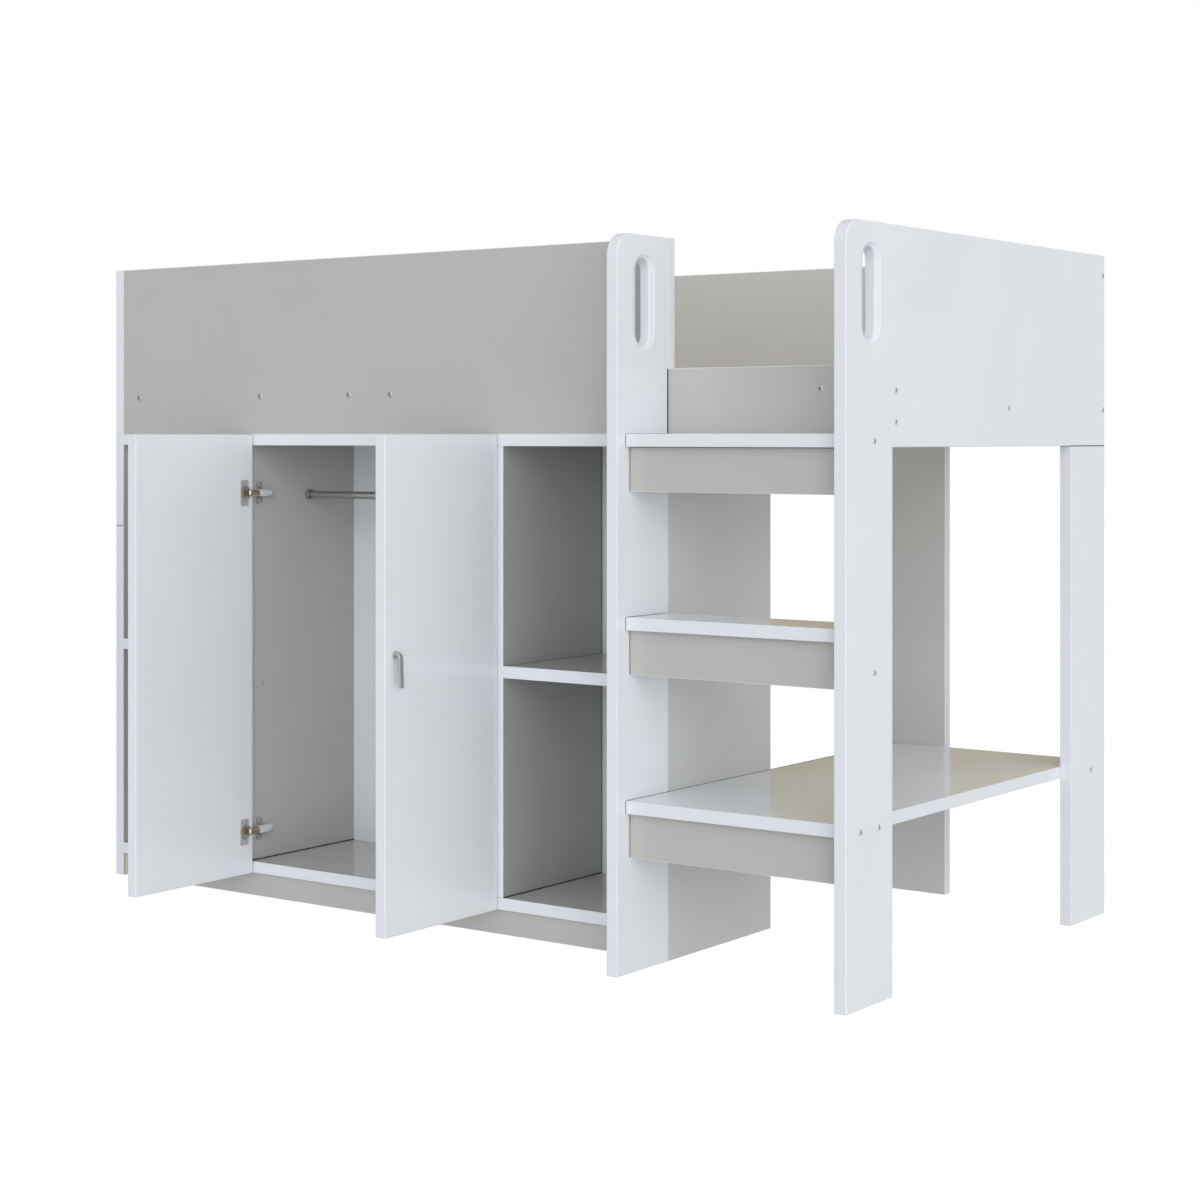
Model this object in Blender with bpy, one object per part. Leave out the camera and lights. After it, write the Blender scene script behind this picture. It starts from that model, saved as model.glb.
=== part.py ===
"""Cabin bed with a wardrobe, open shelves, three steps and a low desk board.

Flat-pack furniture made of edged boards, with two wardrobe doors on concealed cup hinges.
Metres, +Z up, +X along the bed towards the ladder, +Y towards the wall. The frame's origin
is on the floor, in the middle of the footprint with the doors standing open at 90 degrees.
The doors are modelled open; each turns about an empty on its hinge axis.
"""

from math import cos, pi, sin

import bmesh
import bpy
from mathutils import Matrix, Vector

# ---- boards and overall size ------------------------------------------------------------
BOARD = 0.025                 # thickness of every board
EDGE_ROUND = 0.001            # rounding of the edge bands
STEP_EDGE_ROUND = 0.0015      # of the treads and the slotted panels
GAP = 0.0003                  # clearance left where two pieces touch
LENGTH = 2.060                # outside, over both end panels
DEPTH = 0.960                 # rail face to wall side
HEIGHT = 1.424                # top of the guard rails and end panels
STEP_OUT = 0.174              # how far the ladder stands in front of the rail face
LEG_WIDTH = 0.174             # front leg, ladder upright, back leg and desk support

# ---- carcass ----------------------------------------------------------------------------
CARCASS_RIGHT = 1.563         # outer face of the carcass side, flush with the ladder upright
CARCASS_DEPTH = 0.390
BACK_PANEL_FRONT = 0.355
BACK_PANEL_THICKNESS = 0.016
SIDE_BAY = 0.384              # clear width of each open shelf bay
CARCASS_TOP = 1.038
BOTTOM_TOP = 0.077            # upper face of the bottom board
PLINTH_SETBACK = 0.005
SHELF_TOP = 0.5575
PANEL_SEAM = 0.823            # where the two pieces of the left end panel meet
TUBE_RADIUS = 0.0095
TUBE_HEIGHT = 0.899
TUBE_BACK = 0.195             # tube axis behind the carcass front
TUBE_END_GAP = 0.003          # tube end to divider face
SOCKET_RADIUS = 0.0115
SOCKET_DEPTH = 0.010
SOCKET_FLOOR = 0.0025

# ---- steps, desk board and rails --------------------------------------------------------
TREAD_SETBACK = 0.028         # behind the front edge of the upright
FASCIA_SETBACK = 0.0425
FASCIA_HEIGHT = 0.086
MIDDLE_TREAD_TOP = 0.686
DESK_TOP = 0.334
ENTRY_RAIL_TOP = 1.167
SUPPORT_RIGHT = 1.690         # right edge of the upright board behind the desk
CORNER_RADIUS = 0.045
SLOT_WIDTH = 0.0465           # clear opening
SLOT_HEIGHT = 0.169
SLOT_DISH_WIDTH = 0.075       # outline of the dished rim on the right face
SLOT_DISH_HEIGHT = 0.185
SLOT_CENTRE_Y = -0.0825
SLOT_CENTRE_Z = 1.2935
SLOT_END_STEPS = 24
SLOT_DISH_PROFILE = (         # depth, and share of the rim's width still open
    (0.0073, 0.0), (0.0056, 0.03), (0.0044, 0.08), (0.0037, 0.15), (0.0023, 0.54),
    (0.0010, 0.92), (0.0007, 0.95), (0.0002, 0.97), (0.0, 1.0),
)
SLOT_BACK_EASE = 0.0008       # eased edge on the left face

# ---- bed base ---------------------------------------------------------------------------
BATTEN_HEIGHT = 0.040
BASE_TOP = 1.143              # upper face of battens and centre rail
CENTRE_RAIL_Y = 0.486
SLAT_COUNT = 12
SLAT_WIDTH = 0.090
SLAT_THICKNESS = 0.015

# ---- doors and hinges -------------------------------------------------------------------
DOOR_BOTTOM = 0.052
DOOR_TOP = 1.037
DOOR_INSET = 0.0125           # open: inner face inside the opening
DOOR_OVERLAY = 0.0115         # closed: hinge edge over the divider's front edge
OPEN_GAP = 0.0035             # open: hinge edge in front of the carcass
CLOSED_GAP = 0.006            # closed: inner face in front of the carcass
MEETING_GAP = 0.003           # closed: between the two doors
DOOR_EDGE_RADIUS = 0.002
HINGE_HEIGHTS = {"lower": 0.147, "upper": 0.906}
CUP_RADIUS = 0.0175
CUP_WALL = 0.0015
CUP_DEPTH = 0.016
CUP_FROM_EDGE = 0.023
FLANGE_THICKNESS = 0.0013
FLANGE_NEAR = 0.015           # flange edges, measured from the door's hinge edge
FLANGE_FAR = 0.040
FLANGE_HALF_HEIGHT = 0.029
LINK_REACH = 0.016            # from hinge axis to the middle of the link's strap
LINK_THICKNESS = 0.004
LINK_WIDTH = 0.012
EYE_RADIUS = 0.003            # round end of the link on the hinge axis
ARM_START = 0.012             # behind the carcass front
ARM_END = 0.066
ARM_WIDTH = 0.015
PLATE_NEAR = 0.020
PLATE_FAR = 0.038
PLATE_HEIGHT = 0.050
PLATE_THICKNESS = 0.003
HANDLE_HEIGHT = 0.608         # axis of the handle's post
HANDLE_FROM_EDGE = 0.028
HANDLE_POST_RADIUS = 0.0055
HANDLE_STANDOFF = 0.019
HANDLE_BLADE = (0.004, 0.012, 0.074)

CUTTER_OVERRUN = 0.02         # how far a cutter runs past the face it cuts

# ---- worked-out places ------------------------------------------------------------------
DIVIDER_LEFT = BOARD + SIDE_BAY
DIVIDER_RIGHT = CARCASS_RIGHT - BOARD - SIDE_BAY - BOARD
OPENING_LEFT = DIVIDER_LEFT + BOARD
OPENING_RIGHT = DIVIDER_RIGHT
OPENING_MIDDLE = (OPENING_LEFT + OPENING_RIGHT) / 2
HALF_OPENING = (OPENING_RIGHT - OPENING_LEFT) / 2
UNDER_BED = CARCASS_TOP - BOARD
LADDER_LEFT = CARCASS_RIGHT
LADDER_RIGHT = LENGTH - BOARD
DOOR_WIDTH = HALF_OPENING + DOOR_OVERLAY - MEETING_GAP / 2
DOOR_REACH = OPEN_GAP + DOOR_WIDTH
AXIS_FROM_MIDDLE = HALF_OPENING - (DOOR_INSET - DOOR_OVERLAY + CLOSED_GAP - OPEN_GAP) / 2
AXIS_IN_FRONT = (DOOR_INSET + DOOR_OVERLAY + OPEN_GAP + CLOSED_GAP) / 2

# The frame's origin, in the joiner's own measure: from the left end, from the rail face.
ORIGIN = Vector((LENGTH / 2, (DEPTH - DOOR_REACH) / 2, 0))


def clear_scene():
    for item in list(bpy.data.objects):
        bpy.data.objects.remove(item, do_unlink=True)


def finish(name, color, roughness, metallic=0.0):
    """One Principled material, in a plain colour."""
    material = bpy.data.materials.new(name)
    material.use_nodes = True
    shader = material.node_tree.nodes["Principled BSDF"]
    shader.inputs["Base Color"].default_value = (*color, 1)
    shader.inputs["Roughness"].default_value = roughness
    shader.inputs["Metallic"].default_value = metallic
    return material


FINISHES = {
    "white_board": ((0.80, 0.81, 0.84), 0.35, 0.0),
    "grey_board": ((0.50, 0.50, 0.49), 0.40, 0.0),
    "pine": ((0.70, 0.52, 0.33), 0.60, 0.0),
    "steel": ((0.62, 0.62, 0.60), 0.25, 1.0),
    "brass": ((0.55, 0.47, 0.34), 0.35, 1.0),
    "tube_steel": ((0.75, 0.75, 0.75), 0.15, 1.0),
}


def add_piece(name, mesh, kind, place):
    """Puts one mesh in the scene at a place given in the joiner's measure."""
    piece = bpy.data.objects.new(name, mesh)
    color, roughness, metallic = FINISHES[kind]
    mesh.materials.append(finish(name + "_finish", color, roughness, metallic))
    piece.location = Vector(place) - ORIGIN
    bpy.context.scene.collection.objects.link(piece)
    return piece


def mesh_from(shape, name):
    bmesh.ops.recalc_face_normals(shape, faces=shape.faces)
    mesh = bpy.data.meshes.new(name)
    shape.to_mesh(mesh)
    shape.free()
    return mesh


def soften(piece, width, segments=2):
    bevel = piece.modifiers.new("softened_edges", "BEVEL")
    bevel.width = width
    bevel.segments = segments
    bevel.limit_method = "ANGLE"
    bevel.angle_limit = pi / 5
    return piece


def board(name, low, high, kind="white_board", edge=EDGE_ROUND, segments=2):
    """A straight board between two corners, its edges lightly rounded."""
    low = Vector(low)
    high = Vector(high)
    shape = bmesh.new()
    bmesh.ops.create_cube(shape, size=1.0)
    bmesh.ops.scale(shape, vec=high - low, verts=shape.verts)
    piece = add_piece(name, mesh_from(shape, name), kind, (low + high) / 2)
    return soften(piece, edge, segments)


def rod(name, start, end, radius, kind, sides=32):
    """A round bar along X between two points."""
    start = Vector(start)
    end = Vector(end)
    shape = bmesh.new()
    turn = Matrix.Rotation(pi / 2, 4, "Y")
    bmesh.ops.create_cone(shape, cap_ends=True, segments=sides, radius1=radius, radius2=radius,
                          depth=(end - start).length, matrix=turn)
    mesh = mesh_from(shape, name)
    mesh.shade_smooth()
    mesh.set_sharp_from_angle(angle=pi / 6)
    return add_piece(name, mesh, kind, (start + end) / 2)


def slab(name, outline, thickness, place, kind):
    """A flat outline in the YZ plane, thickened along +X from the given place."""
    shape = bmesh.new()
    corners = [shape.verts.new((0, y, z)) for y, z in outline]
    face = shape.faces.new(corners)
    grown = bmesh.ops.extrude_face_region(shape, geom=[face])
    moved = [item for item in grown["geom"] if isinstance(item, bmesh.types.BMVert)]
    bmesh.ops.translate(shape, verts=moved, vec=(thickness, 0, 0))
    return add_piece(name, mesh_from(shape, name), kind, place)


def arc(centre_y, centre_z, radius, start, end, steps=12):
    """Points of a round corner, from one angle to another."""
    angles = [start + (end - start) * step / steps for step in range(steps + 1)]
    return [(centre_y + radius * cos(angle), centre_z + radius * sin(angle)) for angle in angles]


def box_shape(low, high):
    """A bmesh box between two corners."""
    low = Vector(low)
    high = Vector(high)
    shape = bmesh.new()
    bmesh.ops.create_cube(shape, size=1.0)
    bmesh.ops.scale(shape, vec=high - low, verts=shape.verts)
    bmesh.ops.translate(shape, vec=(low + high) / 2, verts=shape.verts)
    return shape


def drum_shape(radius, inner_end, outer_end, y, z, sides=32):
    """A bmesh cylinder along X between two X values."""
    shape = bmesh.new()
    turn = Matrix.Translation(((inner_end + outer_end) / 2, y, z)) @ Matrix.Rotation(pi / 2, 4, "Y")
    bmesh.ops.create_cone(shape, cap_ends=True, segments=sides, radius1=radius, radius2=radius,
                          depth=abs(outer_end - inner_end), matrix=turn)
    return shape


def cutter(name, mesh, place):
    """A helper solid that is only there to be cut away."""
    tool = bpy.data.objects.new(name, mesh)
    tool.location = Vector(place) - ORIGIN
    tool.hide_render = True
    tool.display_type = "WIRE"
    bpy.context.scene.collection.objects.link(tool)
    return tool


def combine(piece, tool, operation):
    modifier = piece.modifiers.new(operation.lower(), "BOOLEAN")
    modifier.operation = operation
    modifier.solver = "EXACT"
    modifier.object = tool
    return modifier


def slot_outline(width, height):
    """A round-ended slot about its own centre."""
    radius = width / 2
    reach = height / 2 - radius
    upper = arc(0, reach, radius, 0, pi, SLOT_END_STEPS)
    lower = arc(0, -reach, radius, pi, 2 * pi, SLOT_END_STEPS)
    return upper + lower


def dished_outline(share):
    """The slot's outline, widened by a share of the dished rim."""
    width = SLOT_WIDTH + (SLOT_DISH_WIDTH - SLOT_WIDTH) * share
    height = SLOT_HEIGHT + (SLOT_DISH_HEIGHT - SLOT_HEIGHT) * share
    return slot_outline(width, height)


def hand_slot(piece, left_face):
    """Cuts the upright grip slot through a panel, with a shallow dished rim on its right face."""
    eased = (SLOT_WIDTH + 2 * SLOT_BACK_EASE, SLOT_HEIGHT + 2 * SLOT_BACK_EASE)
    stations = [(-CUTTER_OVERRUN, slot_outline(*eased)), (0, slot_outline(*eased)),
                (SLOT_BACK_EASE, slot_outline(SLOT_WIDTH, SLOT_HEIGHT))]
    stations += [(BOARD - depth, dished_outline(share)) for depth, share in SLOT_DISH_PROFILE]
    stations.append((BOARD + CUTTER_OVERRUN, dished_outline(1)))
    shape = bmesh.new()
    rings = []
    for across, outline in stations:
        rings.append([shape.verts.new((across, y, z)) for y, z in outline])
    for near, far in zip(rings, rings[1:]):
        for index, corner in enumerate(near):
            after = (index + 1) % len(near)
            shape.faces.new((corner, near[after], far[after], far[index]))
    shape.faces.new(rings[0])
    shape.faces.new(rings[-1])
    bmesh.ops.recalc_face_normals(shape, faces=shape.faces)
    name = piece.name + "_slot_cutter"
    tool = cutter(name, mesh_from(shape, name), (left_face, SLOT_CENTRE_Y, SLOT_CENTRE_Z))
    combine(piece, tool, "DIFFERENCE")


# ---- carcass ----------------------------------------------------------------------------
def build_end_panel_left():
    for part, bottom, top in (("lower", 0, PANEL_SEAM), ("upper", PANEL_SEAM + GAP, HEIGHT)):
        board("left_end_panel_" + part, (0, 0, bottom), (BOARD, DEPTH, top), "grey_board")


def build_carcass():
    inner_left = BOARD + GAP
    side_left = CARCASS_RIGHT - BOARD
    under_top = UNDER_BED - GAP
    board("top_board", (inner_left, 0, UNDER_BED), (CARCASS_RIGHT - GAP, CARCASS_DEPTH, CARCASS_TOP),
          "grey_board")
    board("bottom_board", (inner_left, 0, BOTTOM_TOP - BOARD),
          (side_left - GAP, BACK_PANEL_FRONT - GAP, BOTTOM_TOP), "grey_board")
    board("carcass_side_right", (side_left, GAP, 0), (CARCASS_RIGHT, CARCASS_DEPTH, under_top), "grey_board")
    for name, left in (("divider_left", DIVIDER_LEFT), ("divider_right", DIVIDER_RIGHT)):
        board(name, (left, 0, BOTTOM_TOP + GAP), (left + BOARD, BACK_PANEL_FRONT - GAP, under_top),
              "grey_board")
    for name, left in (("shelf_left", inner_left), ("shelf_right", DIVIDER_RIGHT + BOARD + GAP)):
        board(name, (left, 0, SHELF_TOP - BOARD),
              (left + SIDE_BAY - 2 * GAP, BACK_PANEL_FRONT - GAP, SHELF_TOP), "grey_board")
    board("carcass_back_panel", (inner_left, BACK_PANEL_FRONT, BOTTOM_TOP - BOARD),
          (side_left - GAP, BACK_PANEL_FRONT + BACK_PANEL_THICKNESS, under_top))
    plinth_top = BOTTOM_TOP - BOARD - GAP
    board("plinth_front", (inner_left, PLINTH_SETBACK, 0),
          (side_left - GAP, PLINTH_SETBACK + BOARD, plinth_top), "grey_board")
    plinth_back = BACK_PANEL_FRONT + BACK_PANEL_THICKNESS
    board("plinth_back", (inner_left, plinth_back - BOARD, 0), (side_left - GAP, plinth_back, plinth_top),
          "grey_board")


def build_hanging_rail():
    """A steel tube between two cup sockets screwed to the dividers."""
    rod("hanging_rail", (OPENING_LEFT + TUBE_END_GAP, TUBE_BACK, TUBE_HEIGHT),
        (OPENING_RIGHT - TUBE_END_GAP, TUBE_BACK, TUBE_HEIGHT), TUBE_RADIUS, "tube_steel")
    for name, face, side in (("rail_socket_left", OPENING_LEFT, 1), ("rail_socket_right", OPENING_RIGHT, -1)):
        wall = (face + side * GAP, TUBE_BACK, TUBE_HEIGHT)
        mouth = (face + side * SOCKET_DEPTH, TUBE_BACK, TUBE_HEIGHT)
        socket = rod(name, wall, mouth, SOCKET_RADIUS, "steel")
        bore_start = face + side * SOCKET_FLOOR
        bore_end = mouth[0] + side * CUTTER_OVERRUN
        bore = drum_shape(TUBE_RADIUS + GAP, bore_start, bore_end, TUBE_BACK, TUBE_HEIGHT)
        tool = cutter(name + "_bore_cutter", mesh_from(bore, name + "_bore"), (0, 0, 0))
        combine(socket, tool, "DIFFERENCE")


# ---- ladder end -------------------------------------------------------------------------
def build_upright():
    """Full-height board in front of the carcass side, with a rounded corner and a grip slot."""
    front = -STEP_OUT
    top = HEIGHT
    outline = [(-GAP, 0), (-GAP, top)]
    outline += arc(front + CORNER_RADIUS, top - CORNER_RADIUS, CORNER_RADIUS, pi / 2, pi)
    outline += [(front, 0)]
    left = CARCASS_RIGHT - BOARD
    piece = slab("ladder_upright", outline, BOARD, (left, 0, 0), "white_board")
    soften(piece, STEP_EDGE_ROUND)
    hand_slot(piece, left)


def build_end_panel_right():
    """The guard panel and the front leg are one board, cut to an L."""
    front = -STEP_OUT
    leg_back = front + LEG_WIDTH
    outline = [(leg_back, 0), (leg_back, UNDER_BED), (DEPTH, UNDER_BED), (DEPTH, HEIGHT)]
    outline += arc(front + CORNER_RADIUS, HEIGHT - CORNER_RADIUS, CORNER_RADIUS, pi / 2, pi)
    outline += [(front, 0)]
    piece = slab("right_end_panel", outline, BOARD, (LADDER_RIGHT, 0, 0), "white_board")
    soften(piece, STEP_EDGE_ROUND)
    hand_slot(piece, LADDER_RIGHT)
    board("back_leg_right", (LADDER_RIGHT, DEPTH - LEG_WIDTH, 0), (LENGTH, DEPTH, UNDER_BED - GAP))


def build_steps():
    """Two treads and the desk board, each with a fascia hung under its front edge."""
    left = LADDER_LEFT + GAP
    right = LADDER_RIGHT - GAP
    front = TREAD_SETBACK - STEP_OUT
    fascia_front = FASCIA_SETBACK - STEP_OUT
    steps = (
        ("tread_top", "fascia_top", CARCASS_TOP, BOARD),
        ("tread_middle", "fascia_middle", MIDDLE_TREAD_TOP, 0),
        ("desk_board", "fascia_desk", DESK_TOP, DEPTH - BOARD - GAP),
    )
    for tread, fascia, top, back in steps:
        board(tread, (left, front, top - BOARD), (right, back, top), edge=STEP_EDGE_ROUND)
        under = top - BOARD - GAP
        board(fascia, (left, fascia_front, under - FASCIA_HEIGHT),
              (right, fascia_front + BOARD, under), "grey_board")
    board("desk_support_board", (SUPPORT_RIGHT - LEG_WIDTH, DEPTH - BOARD, 0),
          (SUPPORT_RIGHT, DEPTH, UNDER_BED - GAP), "grey_board")


# ---- rails and bed base -----------------------------------------------------------------
def build_rails():
    inner_left = BOARD + GAP
    inner_right = LADDER_RIGHT - GAP
    above_top = CARCASS_TOP + GAP
    board("front_guard_rail", (inner_left, 0, above_top), (CARCASS_RIGHT, BOARD, HEIGHT), "grey_board")
    board("entry_rail", (CARCASS_RIGHT + GAP, 0, above_top), (inner_right, BOARD, ENTRY_RAIL_TOP),
          "grey_board")
    board("back_guard_rail", (inner_left, DEPTH - BOARD, UNDER_BED), (inner_right, DEPTH, HEIGHT),
          "grey_board")


def build_bed_base():
    inner_left = BOARD + GAP
    inner_right = LADDER_RIGHT - GAP
    rail_back = BOARD + GAP
    wall_rail_front = DEPTH - BOARD - GAP
    battens = (("batten_front", rail_back), ("batten_back", wall_rail_front - BOARD))
    for name, front in battens:
        board(name, (inner_left, front, BASE_TOP - BATTEN_HEIGHT), (inner_right, front + BOARD, BASE_TOP),
              "pine", segments=1)
    board("centre_support_rail", (inner_left, CENTRE_RAIL_Y - BOARD / 2, CARCASS_TOP),
          (inner_right, CENTRE_RAIL_Y + BOARD / 2, BASE_TOP), "pine", segments=1)
    clear = (inner_right - inner_left - SLAT_COUNT * SLAT_WIDTH) / (SLAT_COUNT + 1)
    for number in range(SLAT_COUNT):
        left = inner_left + clear + number * (SLAT_WIDTH + clear)
        board("slat_%02d" % (number + 1), (left, rail_back, BASE_TOP + GAP),
              (left + SLAT_WIDTH, wall_rail_front, BASE_TOP + SLAT_THICKNESS), "pine", segments=1)


# ---- doors ------------------------------------------------------------------------------
class DoorSide:
    """Measures of one door, which stands open; side is -1 on the left and 1 on the right."""

    def __init__(self, word, side):
        self.word = word
        self.side = side
        self.axis = Vector((OPENING_MIDDLE + side * AXIS_FROM_MIDDLE, -AXIS_IN_FRONT, 0))
        self.pivot = bpy.data.objects.new("door_" + word + "_axis", None)
        self.pivot.location = self.axis - ORIGIN
        bpy.context.scene.collection.objects.link(self.pivot)

    def outwards(self, distance):
        """X, in the joiner's measure, of a plane so far from the middle of the opening."""
        return OPENING_MIDDLE + self.side * distance

    def on_pivot(self, piece):
        piece.parent = self.pivot
        piece.location = piece.location - self.pivot.location

    def span(self, near, far, front, back, bottom, top):
        """Low and high corners from distances near and far from the middle of the opening."""
        xs = sorted((self.outwards(near), self.outwards(far)))
        return (xs[0], front, bottom), (xs[1], back, top)


INNER_FACE = HALF_OPENING - DOOR_INSET           # from the middle of the opening, door open
OUTER_FACE = INNER_FACE + BOARD


def build_door(door):
    low, high = door.span(INNER_FACE, OUTER_FACE, -DOOR_REACH, -OPEN_GAP, DOOR_BOTTOM, DOOR_TOP)
    panel = board("door_" + door.word, low, high, edge=DOOR_EDGE_RADIUS, segments=3)
    cup_y = -OPEN_GAP - CUP_FROM_EDGE
    for word, height in HINGE_HEIGHTS.items():
        start = door.outwards(INNER_FACE - CUTTER_OVERRUN)
        end = door.outwards(INNER_FACE + CUP_DEPTH + GAP)
        name = "door_%s_%s_bore_cutter" % (door.word, word)
        bore = drum_shape(CUP_RADIUS + GAP, start, end, cup_y, height)
        tool = cutter(name, mesh_from(bore, name), (0, 0, 0))
        combine(panel, tool, "DIFFERENCE")
    door.on_pivot(panel)


def build_cup(door, word, height):
    """Pressed cup and flange, let into the inner face of the door."""
    name = "hinge_cup_%s_%s" % (door.word, word)
    cup_y = -OPEN_GAP - CUP_FROM_EDGE
    rim = INNER_FACE - GAP - FLANGE_THICKNESS
    bottom = INNER_FACE + CUP_DEPTH
    shell = drum_shape(CUP_RADIUS, door.outwards(rim), door.outwards(bottom), cup_y, height)
    cup = add_piece(name, mesh_from(shell, name), "steel", (0, 0, 0))
    low, high = door.span(rim, rim + FLANGE_THICKNESS, -OPEN_GAP - FLANGE_FAR, -OPEN_GAP - FLANGE_NEAR,
                          height - FLANGE_HALF_HEIGHT, height + FLANGE_HALF_HEIGHT)
    flange = cutter(name + "_flange", mesh_from(box_shape(low, high), name + "_flange"), (0, 0, 0))
    combine(cup, flange, "UNION")
    hollow = drum_shape(CUP_RADIUS - CUP_WALL, door.outwards(rim - CUTTER_OVERRUN),
                        door.outwards(bottom - CUP_WALL), cup_y, height)
    tool = cutter(name + "_hollow", mesh_from(hollow, name + "_hollow"), (0, 0, 0))
    combine(cup, tool, "DIFFERENCE")
    door.on_pivot(cup)


def build_arm(door, word, height):
    """Mounting plate and arm, screwed to the divider inside the wardrobe."""
    name = "hinge_arm_%s_%s" % (door.word, word)
    wall = HALF_OPENING - GAP
    reach = AXIS_FROM_MIDDLE - LINK_REACH - LINK_THICKNESS / 2
    low, high = door.span(reach, wall, ARM_START, ARM_END,
                          height - ARM_WIDTH / 2, height + ARM_WIDTH / 2)
    arm = add_piece(name, mesh_from(box_shape(low, high), name), "steel", (0, 0, 0))
    low, high = door.span(wall - PLATE_THICKNESS, wall, PLATE_NEAR, PLATE_FAR,
                          height - PLATE_HEIGHT / 2, height + PLATE_HEIGHT / 2)
    plate = cutter(name + "_plate", mesh_from(box_shape(low, high), name + "_plate"), (0, 0, 0))
    combine(arm, plate, "UNION")


def build_link(door, word, height):
    """Bent strap from the arm into the cup, ending in an eye on the hinge axis."""
    name = "hinge_link_%s_%s" % (door.word, word)
    half = LINK_THICKNESS / 2
    strap = AXIS_FROM_MIDDLE - LINK_REACH
    bottom = height - LINK_WIDTH / 2
    top = height + LINK_WIDTH / 2
    low, high = door.span(strap - half, strap + half, -AXIS_IN_FRONT - half, ARM_START - GAP,
                          bottom, top)
    link = add_piece(name, mesh_from(box_shape(low, high), name), "brass", (0, 0, 0))
    low, high = door.span(strap, AXIS_FROM_MIDDLE, -AXIS_IN_FRONT - half, -AXIS_IN_FRONT + half,
                          bottom, top)
    leg = cutter(name + "_leg", mesh_from(box_shape(low, high), name + "_leg"), (0, 0, 0))
    combine(link, leg, "UNION")
    eye = bmesh.new()
    bmesh.ops.create_cone(eye, cap_ends=True, segments=16, radius1=EYE_RADIUS, radius2=EYE_RADIUS,
                          depth=LINK_WIDTH, matrix=Matrix.Translation(door.axis + Vector((0, 0, height))))
    barrel = cutter(name + "_eye", mesh_from(eye, name + "_eye"), (0, 0, 0))
    combine(link, barrel, "UNION")


def build_handle(door):
    """One-post pull: a round post and a flat blade that hangs from it."""
    name = "handle_" + door.word
    thickness, width, length = HANDLE_BLADE
    y = -DOOR_REACH + HANDLE_FROM_EDGE
    blade_face = OUTER_FACE + HANDLE_STANDOFF
    top = HANDLE_HEIGHT + width / 2
    low, high = door.span(blade_face - thickness, blade_face, y - width / 2, y + width / 2, top - length, top)
    blade = add_piece(name, mesh_from(box_shape(low, high), name), "steel", (0, 0, 0))
    post_shape = drum_shape(HANDLE_POST_RADIUS, door.outwards(OUTER_FACE + GAP),
                            door.outwards(blade_face - thickness / 2), y, HANDLE_HEIGHT, 20)
    post = cutter(name + "_post", mesh_from(post_shape, name + "_post"), (0, 0, 0))
    combine(blade, post, "UNION")
    door.on_pivot(blade)


def build_doors():
    for word, side in (("left", -1), ("right", 1)):
        door = DoorSide(word, side)
        build_door(door)
        build_handle(door)
        for hinge, height in HINGE_HEIGHTS.items():
            build_cup(door, hinge, height)
            build_arm(door, hinge, height)
            build_link(door, hinge, height)


clear_scene()
build_end_panel_left()
build_carcass()
build_hanging_rail()
build_upright()
build_end_panel_right()
build_steps()
build_rails()
build_bed_base()
build_doors()
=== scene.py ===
"""Looks of the cabin bed: boards, edge bands, hardware, bed base, floor, light and camera."""

from math import acos, cos, pi, radians, sin

import bmesh
import bpy
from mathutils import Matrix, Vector


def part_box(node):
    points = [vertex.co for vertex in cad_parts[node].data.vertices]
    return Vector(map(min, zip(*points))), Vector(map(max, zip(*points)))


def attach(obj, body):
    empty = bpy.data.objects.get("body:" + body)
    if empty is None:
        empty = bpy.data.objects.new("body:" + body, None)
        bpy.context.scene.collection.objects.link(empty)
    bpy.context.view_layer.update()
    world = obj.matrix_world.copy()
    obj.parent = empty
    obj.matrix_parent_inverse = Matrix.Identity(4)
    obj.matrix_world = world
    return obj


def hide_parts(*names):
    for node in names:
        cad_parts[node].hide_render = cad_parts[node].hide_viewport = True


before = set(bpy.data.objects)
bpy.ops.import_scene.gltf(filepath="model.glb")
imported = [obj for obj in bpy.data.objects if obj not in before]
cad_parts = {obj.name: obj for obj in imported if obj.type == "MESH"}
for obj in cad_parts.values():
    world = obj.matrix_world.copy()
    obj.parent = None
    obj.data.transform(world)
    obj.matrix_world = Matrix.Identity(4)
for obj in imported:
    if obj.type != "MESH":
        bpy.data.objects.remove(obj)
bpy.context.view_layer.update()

# ---- Left end panel ----------------------------------------------------------------------
# Two light grey boards, one above the other, that close the head end from floor to guard
# height. Melamine-faced particle board with a pressed pearl texture; every edge carries a
# glued white plastic band with a soft sheen.
GREY = (0.50, 0.499, 0.486)
WHITE_BAND = (0.775, 0.800, 0.850)
SQUARE_ON = 0.999  # a face that looks straight along an axis


def new_finish(name, color, roughness, metallic=0.0):
    """A Principled material and its shader, with the even values set on the shader itself."""
    material = bpy.data.materials.new(name)
    material.use_nodes = True
    shader = material.node_tree.nodes["Principled BSDF"]
    shader.inputs["Base Color"].default_value = (*color, 1)
    shader.inputs["Roughness"].default_value = roughness
    shader.inputs["Metallic"].default_value = metallic
    return material, shader


def noise(material, scale, detail=2.0, stretch=(1, 1, 1)):
    """A noise pattern in metres, stretched along the piece where it has a grain."""
    tree = material.node_tree
    place = tree.nodes.new("ShaderNodeTexCoord")
    mapping = tree.nodes.new("ShaderNodeMapping")
    mapping.inputs["Scale"].default_value = stretch
    pattern = tree.nodes.new("ShaderNodeTexNoise")
    pattern.inputs["Scale"].default_value = scale
    pattern.inputs["Detail"].default_value = detail
    tree.links.new(place.outputs["Object"], mapping.inputs["Vector"])
    tree.links.new(mapping.outputs["Vector"], pattern.inputs["Vector"])
    return pattern


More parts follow.
